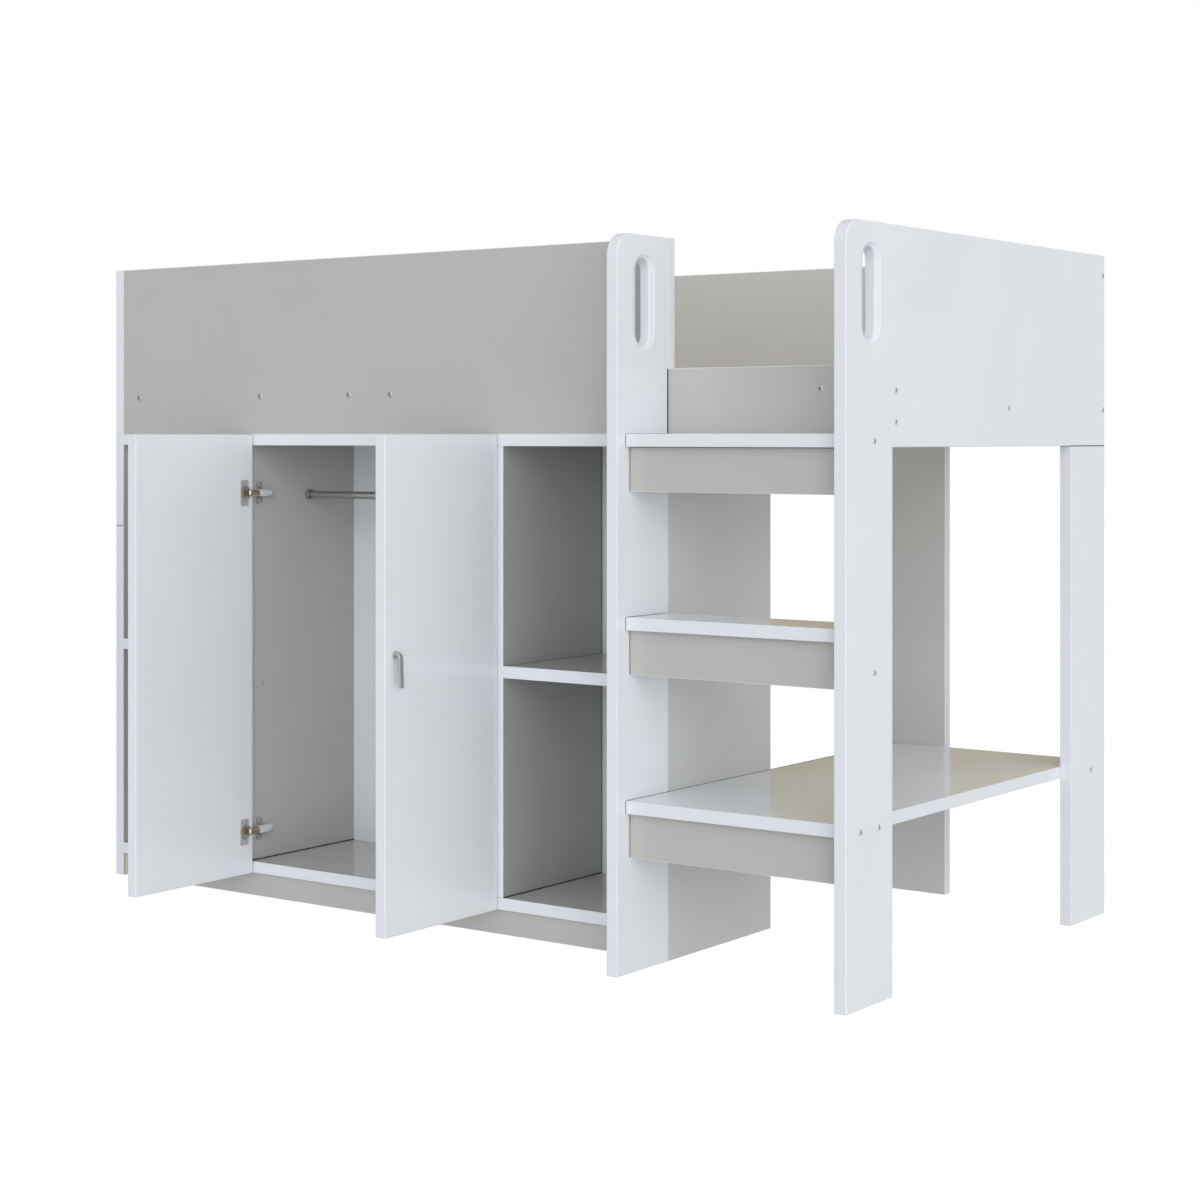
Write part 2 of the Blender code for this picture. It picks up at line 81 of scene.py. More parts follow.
def vary_roughness(material, shader, pattern, low, high):
    """Lets the sheen wander between two values with a pattern."""
    spread = material.node_tree.nodes.new("ShaderNodeMapRange")
    spread.inputs["To Min"].default_value = low
    spread.inputs["To Max"].default_value = high
    material.node_tree.links.new(pattern.outputs["Fac"], spread.inputs["Value"])
    material.node_tree.links.new(spread.outputs["Result"], shader.inputs["Roughness"])


def vary_color(material, shader, pattern, dark, light):
    """Lets the colour wander between two values with a pattern."""
    ramp = material.node_tree.nodes.new("ShaderNodeValToRGB")
    ramp.color_ramp.elements[0].position = 0.3
    ramp.color_ramp.elements[0].color = (*dark, 1)
    ramp.color_ramp.elements[1].position = 0.7
    ramp.color_ramp.elements[1].color = (*light, 1)
    material.node_tree.links.new(pattern.outputs["Fac"], ramp.inputs["Fac"])
    material.node_tree.links.new(ramp.outputs["Color"], shader.inputs["Base Color"])


def emboss(material, shader, pattern, height, strength):
    """Raises the surface a little with a pattern; the height is in metres."""
    bump = material.node_tree.nodes.new("ShaderNodeBump")
    bump.inputs["Distance"].default_value = height
    bump.inputs["Strength"].default_value = strength
    material.node_tree.links.new(pattern.outputs["Fac"], bump.inputs["Height"])
    material.node_tree.links.new(bump.outputs["Normal"], shader.inputs["Normal"])


def melamine(name, color):
    """Paper foil pressed on board: almost even colour, fine pearl grain, satin sheen."""
    material, shader = new_finish(name, color, 0.16)
    cloud = noise(material, 5.0)
    darker = [0.985 * part for part in color]
    lighter = [1.01 * part for part in color]
    vary_color(material, shader, cloud, darker, lighter)
    pearl = noise(material, 700.0, detail=1.0)
    vary_roughness(material, shader, pearl, 0.13, 0.19)
    emboss(material, shader, pearl, 0.00002, 0.12)
    return material


def edge_band(name, color):
    """Plastic edging glued on with a hot-melt line: smooth, with a soft sheen."""
    material, shader = new_finish(name, color, 0.40)
    shader.inputs["Specular IOR Level"].default_value = 0.3
    length_marks = noise(material, 60.0, detail=2.0)
    vary_color(material, shader, length_marks, [0.99 * part for part in color], color)
    vary_roughness(material, shader, length_marks, 0.36, 0.46)
    return material


def dress_board(node, face_finish, band_finish):
    """Faces across the board's thickness get the foil, all the rest is edge band."""
    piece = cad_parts[node]
    low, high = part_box(node)
    size = high - low
    thin = min(range(3), key=lambda axis: size[axis])
    piece.data.materials.clear()
    piece.data.materials.append(face_finish)
    piece.data.materials.append(band_finish)
    for face in piece.data.polygons:
        face.material_index = 0 if abs(face.normal[thin]) > SQUARE_ON else 1


grey_foil = melamine("light_grey_foil", GREY)
white_band = edge_band("white_edge_band", WHITE_BAND)
for part in ("lower", "upper"):
    dress_board("left_end_panel_" + part, grey_foil, white_band)

# ---- Carcass boards ----------------------------------------------------------------------
# Grey melamine-faced boards edged in white, held by cam fittings from inside. Shelves and the
# dividers' bay sides get a darker grey as painted shade, the side by the ladder a paler one as
# painted light.
for node in ("bottom_board", "top_board", "divider_left", "divider_right",
             "plinth_front", "plinth_back"):
    dress_board(node, grey_foil, white_band)
# A darker copy of the grey foil: painted shade for the shelves in the dim bays.
BAY_SHADE_SHARE = 0.80
bay_shade_foil = melamine("shelf_grey_foil_painted_shade", [BAY_SHADE_SHARE * part for part in GREY])
for node in ("shelf_left", "shelf_right"):
    dress_board(node, bay_shade_foil, white_band)
# The dividers' faces toward the bays take the darker foil too: painted shade.
for node, bay_side in (("divider_left", -1), ("divider_right", 1)):
    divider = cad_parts[node].data
    divider.materials.append(bay_shade_foil)
    for face in divider.polygons:
        if face.normal.x * bay_side > SQUARE_ON:
            face.material_index = 2
# A paler copy of the grey foil for boards deep in the bed's shade: painted light.
PAINTED_LIGHT_GREY = (0.59, 0.60, 0.60)
painted_light_foil = melamine("grey_foil_painted_light", PAINTED_LIGHT_GREY)
dress_board("carcass_side_right", painted_light_foil, white_band)

# ---- Back panel --------------------------------------------------------------------------
# One thinner board faced in white foil and edged in white, which squares the carcass. It is
# screwed to the dividers and the outer boards from behind.
WHITE = (0.81, 0.838, 0.878)
white_foil = melamine("white_foil", WHITE)
dress_board("carcass_back_panel", white_foil, white_band)

# ---- Hanging rail ------------------------------------------------------------------------
# A drawn and plated steel tube that drops into two shallow pressed sockets, each held to a
# divider by one countersunk screw in its middle, behind the tube.
MM = 0.001
ORIGIN = Vector((1030, 299.5, 0))
ROUND = 48


def at(x, y, z):
    """A place in millimetres from the left end, the rail face and the floor."""
    return (Vector((x, y, z)) - ORIGIN) * MM


def turned(shape, centre, axis, profile, sides=ROUND):
    """A closed turned body: the profile, radius and height in mm, is spun round the axis."""
    axis = Vector(axis)
    across = axis.orthogonal().normalized()
    corners = [shape.verts.new(centre + MM * (axis * height + across * radius))
               for radius, height in profile]
    line = [shape.edges.new(pair) for pair in zip(corners, corners[1:])]
    bmesh.ops.spin(shape, geom=corners + line, cent=centre, axis=axis, dvec=(0, 0, 0),
                   angle=2 * pi, steps=sides, use_merge=True)
    open_ends = [edge for edge in shape.edges if edge.is_boundary]
    bmesh.ops.holes_fill(shape, edges=open_ends, sides=0)


def piece_from(name, shape, body, materials, nodes=()):
    """A finished piece in its place, riding on a body and standing for CAD nodes if it has any."""
    bmesh.ops.recalc_face_normals(shape, faces=shape.faces)
    mesh = bpy.data.meshes.new(name)
    shape.to_mesh(mesh)
    shape.free()
    mesh.shade_smooth()
    mesh.set_sharp_from_angle(angle=radians(38))
    for material in materials:
        mesh.materials.append(material)
    piece = bpy.data.objects.new(name, mesh)
    bpy.context.scene.collection.objects.link(piece)
    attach(piece, body)
    if nodes:
        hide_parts(*nodes)
    return piece


def plated(name, color, roughness, metallic=1.0):
    """Plated metal: a little cloudy, with fine rubbed marks in the shine."""
    material, shader = new_finish(name, color, roughness, metallic)
    cloud = noise(material, 90.0, detail=3.0)
    vary_color(material, shader, cloud, [0.88 * part for part in color], color)
    rub = noise(material, 900.0, detail=2.0)
    vary_roughness(material, shader, rub, roughness - 0.06, roughness + 0.08)
    emboss(material, shader, rub, 0.00001, 0.3)
    return material


def mirrored(points):
    return [(radius, -height) for radius, height in reversed(points)]


tube_plate, tube_shader = new_finish("tube_plating", (0.66, 0.66, 0.65), 0.2, 1.0)
draw_marks = noise(tube_plate, 160.0, stretch=(0.02, 1, 1))
vary_color(tube_plate, tube_shader, draw_marks, (0.44, 0.44, 0.42), (0.54, 0.54, 0.52))
vary_roughness(tube_plate, tube_shader, draw_marks, 0.26, 0.38)
TUBE_AXIS = (195, 899)
TUBE_ENDS = (437, 1126)
tube_middle = sum(TUBE_ENDS) / 2
tube_half = (TUBE_ENDS[1] - TUBE_ENDS[0]) / 2
tube_end = [(8.2, tube_half - 2.0), (8.2, tube_half), (9.3, tube_half), (9.5, tube_half - 0.3)]
shape = bmesh.new()
turned(shape, at(tube_middle, *TUBE_AXIS), (1, 0, 0), mirrored(tube_end) + tube_end[::-1])
piece_from("wardrobe_hanging_tube", shape, "frame", [tube_plate], ["hanging_rail"])

nickel = plated("nickel_plating", (0.70, 0.70, 0.68), 0.42, 0.6)
socket_plate = plated("socket_plating", (0.50, 0.50, 0.48), 0.42)
SOCKET_CUP = [(11.3, 0.3), (11.5, 0.6), (11.5, 9.4), (11.2, 10.0), (10.1, 10.0), (9.8, 9.7),
              (9.8, 2.7), (9.0, 2.4), (3.6, 2.4), (3.4, 2.7), (1.2, 2.7), (0.9, 2.5)]
for word, face, side in (("left", 434, 1), ("right", 1129, -1)):
    shape = bmesh.new()
    turned(shape, at(face, *TUBE_AXIS), (side, 0, 0), SOCKET_CUP)
    piece_from("tube_socket_" + word, shape, "frame", [socket_plate], ["rail_socket_" + word])

# ---- Ladder upright, right end panel and back leg ----------------------------------------
# White melamine-faced boards sawn to shape. The upright and the end panel have a rounded
# corner and a routed hand slot. Outline and slot walls are edge-banded; bolts hold the boards.
for node in ("ladder_upright", "right_end_panel", "back_leg_right"):
    dress_board(node, white_foil, white_band)

# ---- Treads, desk board, fascias and support board ---------------------------------------
# White boards to step on, each stiffened by a grey fascia under its front edge. The desk
# board runs back to a grey upright board at the wall side.
for node in ("tread_top", "tread_middle", "desk_board"):
    dress_board(node, white_foil, white_band)
for node in ("fascia_top", "fascia_middle", "fascia_desk"):
    dress_board(node, grey_foil, white_band)
# The support board takes the paler foil: painted light.
dress_board("desk_support_board", painted_light_foil, white_band)

# ---- Guard rails -------------------------------------------------------------------------
# Grey melamine-faced boards on edge round the bed well, edged in white and bolted to the end
# boards. The entry rail by the ladder is lower than the others.
for node in ("front_guard_rail", "entry_rail"):
    dress_board(node, grey_foil, white_band)
# The back rail takes the paler foil: painted light.
dress_board("back_guard_rail", painted_light_foil, white_band)

# ---- Joint beads, painted shadow ---------------------------------------------------------
# Thin dark beads in the joints between boards: at the foot and back of the dividers, round the
# ends of the steps, and where end boards meet. Their near-black is painted shadow for the joint
# gaps.
BEAD_SIDES = 12
# Near-black and dark grey finishes: painted shadow for the shade in the joint gaps.
shadow_gap_black, shadow_gap_shader = new_finish("dark_painted_shadow_gap", (0.012, 0.012, 0.012), 0.8)
vary_roughness(shadow_gap_black, shadow_gap_shader, noise(shadow_gap_black, 400.0), 0.7, 0.9)
shadow_gap_grey, shadow_gap_grey_shader = new_finish("grey_painted_shadow_gap", (0.16, 0.16, 0.165), 0.8)
vary_roughness(shadow_gap_grey, shadow_gap_grey_shader, noise(shadow_gap_grey, 400.0), 0.7, 0.9)


def beads(name, runs, finish):
    """Slim round beads with eased ends, each given by its start, end and radius in mm."""
    shape = bmesh.new()
    for start, end, radius in runs:
        run = Vector(end) - Vector(start)
        half = run.length / 2
        ends = [(radius, half - radius * 0.6), (radius * 0.85, half - radius * 0.2),
                (radius * 0.5, half)]
        middle = at(*((Vector(start) + Vector(end)) / 2))
        turned(shape, middle, run.normalized(), mirrored(ends) + ends, BEAD_SIDES)
    piece_from(name, shape, "frame", [finish])


BAY_SIDES = (409, 1154)
WARDROBE_SIDES = (434, 1129)
foot_runs = [((x, 1, 77), (x, 354, 77), 2.0) for x in sorted(BAY_SIDES + WARDROBE_SIDES)]
back_runs = [((x, 355, 79), (x, 355, 1012), 1.2) for x in BAY_SIDES]
beads("shadow_gap_beads_dividers", foot_runs + back_runs, shadow_gap_black)
shelf_runs = [((x, 1, 557.5), (x, 354, 557.5), 0.9) for x in BAY_SIDES]
seam_runs = [((-0.1, 1, 823), (-0.1, 959, 823), 0.8), ((1, -0.1, 823), (24, -0.1, 823), 0.8),
             ((2060.1, 787, 1013), (2060.1, 959, 1013), 1.0),
             ((2036, 785.9, 1013), (2059, 785.9, 1013), 1.3)]
beads("shadow_gap_beads_shelves_and_seams", shelf_runs + seam_runs, shadow_gap_grey)
UPRIGHT_FACE = 1563.1
step_runs = []
for top, back in ((1038, -1), (686, -1), (334, 934)):
    step_runs.append(((UPRIGHT_FACE, -146, top - 24), (UPRIGHT_FACE, -146, top - 1), 0.9))
    step_runs.append(((UPRIGHT_FACE, -145, top), (UPRIGHT_FACE, back, top), 0.7))
    step_runs.append(((UPRIGHT_FACE, -131.5, top - 110), (UPRIGHT_FACE, -131.5, top - 26), 1.3))
    step_runs.append(((1564, -131.8, top - 25.5), (2034, -131.8, top - 25.5), 1.0))
beads("shadow_gap_beads_steps", step_runs, shadow_gap_grey)
entry_runs = [((1563.3, -0.3, 1039), (1563.3, -0.3, 1166), 1.3)]
beads("shadow_gap_bead_entry_rail", entry_runs, shadow_gap_black)

# ---- Battens, centre rail and slats ------------------------------------------------------
# Planed softwood, left bare. Two battens fixed inside the long sides and a centre rail carry
# twelve cross slats, which are screwed down to all three.


def softwood(name, along):
    """Planed pine, its growth rings drawn out along one axis."""
    material, shader = new_finish(name, (0.62, 0.42, 0.22), 0.55)
    stretch = [14.0, 14.0, 14.0]
    stretch[along] = 0.9
    rings = noise(material, 6.0, detail=6.0, stretch=stretch)
    vary_color(material, shader, rings, (0.66, 0.50, 0.29), (0.86, 0.73, 0.50))
    drawn = [3.0, 3.0, 3.0]
    drawn[along] = 0.08
    fibres = noise(material, 60.0, detail=3.0, stretch=drawn)
    emboss(material, shader, fibres, 0.0002, 0.3)
    return material


pine_long = softwood("pine_along_bed", 0)
pine_cross = softwood("pine_across_bed", 1)
rail_nodes = ("batten_front", "batten_back", "centre_support_rail")
slat_nodes = sorted(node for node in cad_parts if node.startswith("slat_"))
for nodes, pine in ((rail_nodes, pine_long), (slat_nodes, pine_cross)):
    for node in nodes:
        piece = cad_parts[node]
        piece.data.materials.clear()
        piece.data.materials.append(pine)

# ---- Doors -------------------------------------------------------------------------------
# Two white melamine-faced boards, edged all round with a rounded band. Each hangs on two
# concealed cup hinges at its outer edge.
for node in ("door_left", "door_right"):
    dress_board(node, white_foil, white_band)

# ---- Connector bolts ---------------------------------------------------------------------
# Flat-pack bolts with a low domed head and a hexagon socket, run through the end panels, the
# upright and the rail faces into cross dowels. The same head serves in every place.
HEAD = [(4.9, -0.8), (5.1, 0.0), (5.0, 0.35), (4.6, 0.75), (3.7, 1.0), (2.5, 1.05), (2.3, 0.9)]
HEX_SOCKET = [(1.9, 0.85), (1.75, 0.1), (1.0, -0.1)]
HEAD_SIDES = 36
# The hexagon sockets take a near-black finish: painted shade in the recess.
socket_shade_black, black_shader = new_finish("socket_painted_shade_black", (0.055, 0.055, 0.06), 0.6, 0.4)
vary_roughness(socket_shade_black, black_shader, noise(socket_shade_black, 1500.0), 0.5, 0.7)


def drawn_out(shape, outlines):
    """A closed body: a flat outline extruded step by step through all the others."""
    start = [shape.verts.new(place) for place in outlines[0]]
    end = shape.faces.new(start)
    for outline in outlines[1:]:
        end = bmesh.ops.extrude_discrete_faces(shape, faces=[end])["faces"][0]
        for corner, place in zip(end.verts, outline):
            corner.co = place
    shape.faces.new(start)


def bolt_head(shape, centre, axis, scale=1.0):
    """Domed head with a six-sided socket, sunk a little into the board it holds."""
    axis = Vector(axis)
    across = axis.orthogonal().normalized()
    other = axis.cross(across)
    size = MM * scale
    outlines = []
    for radius, height in HEAD + HEX_SOCKET:
        six_sided = (radius, height) in HEX_SOCKET
        outline = []
        for step in range(HEAD_SIDES):
            turn = 2 * pi * step / HEAD_SIDES
            reach = radius / cos((turn % (pi / 3)) - pi / 6) if six_sided else radius
            outward = across * cos(turn) + other * sin(turn)
            outline.append(centre + size * (axis * height + reach * outward))
        outlines.append(outline)
    old = set(shape.faces)
    drawn_out(shape, outlines)
    # Faces inside the socket take the second slot, the painted shade.
    for face in shape.faces:
        if face not in old:
            place = (face.calc_center_median() - centre) / size
            depth = place.dot(axis)
            in_shaded_socket = (place - axis * depth).length < 2.2 and depth > -0.5
            face.material_index = 1 if in_shaded_socket else 0


def bolts(name, axis, places, finish, scale=1.0, inside=socket_shade_black):
    """A group of bolt heads on one side of the bed, made as one piece."""
    shape = bmesh.new()
    for place in places:
        bolt_head(shape, at(*place), axis, scale)
    piece_from(name, shape, "frame", [finish, inside])


zinc = plated("zinc_plating", (0.72, 0.72, 0.71), 0.32)
dull_zinc = plated("dull_zinc_plating", (0.66, 0.67, 0.69), 0.45, 0.35)
# A dark grey socket finish for the end panel's bolts: painted shade in the recess.
socket_shade_grey, grey_shader = new_finish("socket_painted_shade_grey", (0.24, 0.24, 0.25), 0.6, 0.3)
vary_roughness(socket_shade_grey, grey_shader, noise(socket_shade_grey, 1500.0), 0.5, 0.7)
rail_bolts = [(x, 0, 1123) for x in (78.7, 464.7, 729.4, 846.9)]
bolts("bolts_front_guard_rail", (0, -1, 0), rail_bolts, zinc, 1.25)
bolts("bolt_entry_rail", (0, -1, 0), [(1907, 0, 1123)], zinc, 1.25)
rail_ends = [(12.5, 1118), (12.5, 1060), (486, 1089.6), (951, 1381), (951, 1090)]
tread_ends = [(-69, 1024.5), (-69, 603), (-121, 320), (-53, 320)]
end_bolts = [(2060, y, z) for y, z in rail_ends + tread_ends + [(886, 320)]]
bolts("bolts_right_end_panel", (1, 0, 0), end_bolts, dull_zinc, 1.2, socket_shade_grey)
upright_bolts = [(1538, y, z) for y, z in tread_ends]
bolts("bolts_ladder_upright", (-1, 0, 0), upright_bolts, dull_zinc)
carcass_ends = [(y, z) for z in (1025.5, 545, 64.5) for y in (50, 300)]
left_bolts = [(0, y, z) for y, z in rail_ends + carcass_ends]
bolts("bolts_left_end_panel", (-1, 0, 0), left_bolts, dull_zinc)
for word, face, side in (("left", 434, 1), ("right", 1129, -1)):
    bolts("shelf_bolts_%s_divider" % word, (side, 0, 0), [(face, 41, 474), (face, 316, 474)],
          zinc, 0.9)

# ---- Small screws ------------------------------------------------------------------------
# Yellow-passivated wood screws with a flat head: two at each end of every slat and one in
# its middle, and a row round the back panel.
SCREW_PROFILE = [(1.2, -0.9), (3.4, -0.2), (3.6, 0.15), (3.3, 0.3), (1.9, 0.3), (1.3, -0.2),
                 (0.5, -0.5)]
yellow_zinc = plated("yellow_zinc", (0.62, 0.50, 0.26), 0.35)


def screws(name, axis, places):
    """A group of screw heads that face one way, made as one piece."""
    shape = bmesh.new()
    for place in places:
        turned(shape, place, axis, SCREW_PROFILE, 20)
    piece_from(name, shape, "frame", [yellow_zinc])


FROM_SLAT_END = 0.0125
CENTRE_RAIL_LINE = 486
PANEL_BACK = 371
slat_places = []
for node in slat_nodes:
    low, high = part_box(node)
    for x in (low.x * 0.75 + high.x * 0.25, low.x * 0.25 + high.x * 0.75):
        slat_places.append(Vector((x, low.y + FROM_SLAT_END, high.z)))
        slat_places.append(Vector((x, high.y - FROM_SLAT_END, high.z)))
    slat_places.append(Vector(((low.x + high.x) / 2, at(0, CENTRE_RAIL_LINE, 0).y, high.z)))
screws("slat_screws", (0, 0, 1), slat_places)
panel_places = [at(x, PANEL_BACK, z)
                for x in (40, 421, 1141, 1524) for z in (150, 350, 545, 750, 950)]
panel_places += [at(x, PANEL_BACK, 64.5) for x in (230, 620, 930, 1330)]
screws("back_panel_screws", (0, 1, 0), panel_places)

# ---- Hinges ------------------------------------------------------------------------------
# Concealed cup hinges of pressed and nickel-plated steel. The cup is let into the door and
# its flange takes two screws; a warm-plated link reaches from it to the arm, which sits on
# a winged plate screwed to the divider.
warm_plate = plated("warm_link_plating", (0.60, 0.51, 0.40), 0.34)
hinge_dark, dark_shader = new_finish("hinge_shadowed_steel", (0.16, 0.16, 0.16), 0.5, 0.8)
vary_roughness(hinge_dark, dark_shader, noise(hinge_dark, 900.0), 0.4, 0.6)
# A dimmer, less metallic copy of the nickel for the inside of the cup: painted shade in the
# hollow.
cup_inside_painted_shade = plated("cup_inside_painted_shade", (0.52, 0.51, 0.49), 0.6, 0.2)
arm_plate = plated("arm_plating", (0.80, 0.81, 0.81), 0.40, 0.25)
wing_plate = plated("wing_plating", (0.34, 0.34, 0.34), 0.45, 0.4)
OPENING_MIDDLE = 781.5
HALF_OPENING = 347.5
INNER_FACE = 335.0
HINGE_AXIS = (345.75, -16.75)
LINK_REACH = 16.0
CUP_MIDDLE = -26.5
CUP_SCREWS = ((-24, 24), (-14.5, 14.5))
HINGES = {"lower": 147, "upper": 906}
SIDES = {"left": -1, "right": 1}
CUP_RIM = [(17.4, -15.9), (17.5, -0.2), (17.2, 0.9), (16.9, 1.3), (16.4, 1.3), (16.0, 0.9),
           (15.9, 0.3), (15.8, -12.5), (14.5, -14.2), (11.5, -14.5), (2.0, -14.5)]
ARM_PATH = [(331.2, 12), (330.6, 14), (330.4, 24), (331.2, 40), (333.6, 54), (336.5, 63),
            (338.2, 65.6)]
ARM_SECTIONS = [(2.2, 6.4, 0.5), (2.6, 7.2, 0.5), (3.0, 7.5, 0.45), (3.2, 7.5, 0.45),
                (3.2, 7.2, 0.45), (2.6, 6.8, 0.5), (1.6, 6.0, 0.6)]
ARM_CHEEK = [(334.0, 14), (334.0, 44), (338.0, 60)]


def wing_outlines(near, far, point):
    """The winged plate between two distances from the opening's middle, with round corners."""
    middle, half_y, half_z, radius, bevel, steps = 29, 9, 25, 6, 0.6, 6
    outlines = []
    for depth, grow in ((near, -bevel), (near + (far - near) * 0.3, 0), (far, 0), (far, -0.01)):
        outline = []
        for corner in range(4):
            corner_y = middle + (half_y - radius) * (1 if corner in (0, 3) else -1)
            corner_z = (half_z - radius) * (1 if corner in (0, 1) else -1)
            for step in range(steps + 1):
                turn = pi / 2 * (corner + step / steps)
                outline.append(point(depth, corner_y + (radius + grow) * cos(turn),
                                     corner_z + (radius + grow) * sin(turn)))
        outlines.append(outline)
    return outlines


def flange_outlines(near, far, point):
    """The cup's flange: a plate with round corners, open towards the cup."""
    front, back, half_z, radius, hole = -18.5, -43.5, 29, 4, 16.5
    flat = []
    for corner_y, corner_z, first in (
            (front - radius, half_z - radius, 0), (back + radius, half_z - radius, 90),
            (back + radius, radius - half_z, 180), (front - radius, radius - half_z, 270)):
        for step in range(7):
            turn = radians(first + 15 * step)
            flat.append((corner_y + radius * cos(turn), corner_z + radius * sin(turn)))
    mouth = acos((front - CUP_MIDDLE) / hole)
    for step in range(25):
        turn = 2 * pi - mouth - (2 * pi - 2 * mouth) * step / 24
        flat.append((CUP_MIDDLE + hole * cos(turn), hole * sin(turn)))
    return [[point(depth, y, z) for y, z in flat] for depth in (near, far)]


def sweep(shape, path, sections, point):
    """A bar along a flat path; a section is half thickness, half width and squareness."""
    outlines = []
    for index, place in enumerate(path):
        before = Vector(path[max(index - 1, 0)])
        after = Vector(path[min(index + 1, len(path) - 1)])
        along = (after - before).normalized()
        normal = Vector((-along.y, along.x))
        thick, wide, square = sections[index]
        outline = []
        for step in range(24):
            turn = 2 * pi * step / 24
            over = abs(cos(turn)) ** square * (1 if cos(turn) >= 0 else -1)
            aside = abs(sin(turn)) ** square * (1 if sin(turn) >= 0 else -1)
            spot = Vector(place) + normal * thick * over
            outline.append(point(spot.x, spot.y, wide * aside))
        outlines.append(outline)
    drawn_out(shape, outlines)


def rounded_bend(start, corner, end, radius, steps=6):
    """A path of two straight runs with the bend between them rounded."""
    start, corner, end = Vector(start), Vector(corner), Vector(end)
    first = corner + (start - corner).normalized() * radius
    last = corner + (end - corner).normalized() * radius
    bend = []
    for step in range(steps + 1):
        share = step / steps
        bend.append(first * (1 - share) ** 2 + corner * 2 * share * (1 - share)
                    + last * share ** 2)
    return [tuple(place) for place in [start] + bend + [end]]


def hinge(word, side, level, height):
    """Cup, link and arm of one hinge; distances are from the middle of the wardrobe opening."""
    def point(distance, y, z):
        return at(OPENING_MIDDLE + side * distance, y, height + z)

    name = "_%s_%s" % (word, level)
    inward = (-side, 0, 0)
    shape = bmesh.new()
    flange = INNER_FACE - 1.6
    drawn_out(shape, flange_outlines(flange, INNER_FACE - 0.3, point))
    for z in CUP_SCREWS[0]:
        turned(shape, point(flange, -31, z), inward,
               [(3.9, -0.3), (4.0, 0.2), (3.6, 0.5), (2.4, 0.5), (1.5, 0.1), (0.5, -0.2)], 24)
    for z in CUP_SCREWS[1]:
        turned(shape, point(flange, -40, z), inward,
               [(1.6, -0.3), (1.5, 0.3), (1.0, 0.45), (0.4, 0.5)], 16)
    turned(shape, point(INNER_FACE, CUP_MIDDLE, 0), inward, CUP_RIM)
    # Faces inside the cup take the dimmer finish, the painted shade.
    for face in shape.faces:
        place = (face.calc_center_median() - point(INNER_FACE, CUP_MIDDLE, 0)) / MM
        in_shaded_cup = side * place.x > 0.2 and Vector((place.y, place.z)).length < 16.2
        face.material_index = 1 if in_shaded_cup else 0
    piece_from("cup" + name, shape, "door_" + word, [nickel, cup_inside_painted_shade],
               ["hinge_cup" + name])

    shape = bmesh.new()
    strap = HINGE_AXIS[0] - LINK_REACH
    path = rounded_bend(HINGE_AXIS, (strap, HINGE_AXIS[1]), (strap, 11.6), 4.5)
    sweep(shape, path, [(3.0, 6.5, 0.7)] * len(path), point)
    turned(shape, point(*HINGE_AXIS, 0), (0, 0, 1),
           [(2.6, -6.0), (3.0, -5.6), (3.0, 5.6), (2.6, 6.0)], 24)
    for z in (-4.2, 4.2):
        turned(shape, point(strap, 8, z), inward,
               [(1.4, 0.0), (1.4, 3.1), (1.0, 3.5), (0.4, 3.6)], 16)
    piece_from("link" + name, shape, "frame", [warm_plate], ["hinge_link" + name])

    shape = bmesh.new()
    wall = HALF_OPENING - 0.3
    drawn_out(shape, wing_outlines(wall - 2.2, wall, point))
    sweep(shape, ARM_PATH, ARM_SECTIONS, point)
    for z in (-7.0, 7.0):
        drawn_out(shape, [[point(distance, y, z - 0.5), point(distance, y, z + 0.5),
                           point(wall - 1.0, y, z + 0.5), point(wall - 1.0, y, z - 0.5)]
                          for distance, y in ARM_CHEEK])
    for distance, y, radius in ((327.6, 22, 2.9), (329.4, 50, 3.1)):
        turned(shape, point(distance, y, 0), inward,
               [(radius, -1.2), (radius, 0.2), (radius - 0.4, 0.6), (1.3, 0.6), (1.1, -0.4),
                (0.4, -0.5)], 24)
    for z in (-19, 19):
        turned(shape, point(wall - 2.2, 29, z), inward,
               [(4.0, -0.4), (4.1, 0.4), (3.7, 0.8), (2.5, 0.8), (1.6, 0.2), (0.5, 0.0)], 24)
    for face in shape.faces:
        place = (face.calc_center_median() - point(wall, 29, 0)) / MM
        raised = -side * place.x
        in_shaded_socket = raised < 3.6 and Vector((place.y, abs(place.z) - 19)).length < 2.3
        face.material_index = 2 if in_shaded_socket else int(raised < 2.3)
    piece_from("arm" + name, shape, "frame", [arm_plate, wing_plate, hinge_dark],
               ["hinge_arm" + name])


for word, side in SIDES.items():
    for level, height in HINGES.items():
        hinge(word, side, level, height)

# ---- Handles -----------------------------------------------------------------------------
# A small cast lever in satin nickel on each door: a round rose, a short neck that turns down
# into a slightly tapered, flat finger blade with a free end. One bolt from inside holds it.
satin_nickel, satin_shader = new_finish("satin_nickel", (0.48, 0.49, 0.49), 0.5, 0.6)
grain = noise(satin_nickel, 800.0, stretch=(1, 1, 0.15))
vary_color(satin_nickel, satin_shader, grain, (0.40, 0.415, 0.415), (0.48, 0.495, 0.50))
vary_roughness(satin_nickel, satin_shader, grain, 0.44, 0.56)
rose_finish = plated("rose_plating", (0.60, 0.61, 0.65), 0.45, 0.2)
OUTER_FACE = INNER_FACE + 25
HANDLE_Y = -333
ROSE_HEIGHT = 604.5
ROSE = [(8.0, 0.3), (8.6, 0.7), (8.6, 2.0), (8.1, 2.6), (7.0, 2.9), (5.8, 2.6), (3.0, 2.6)]
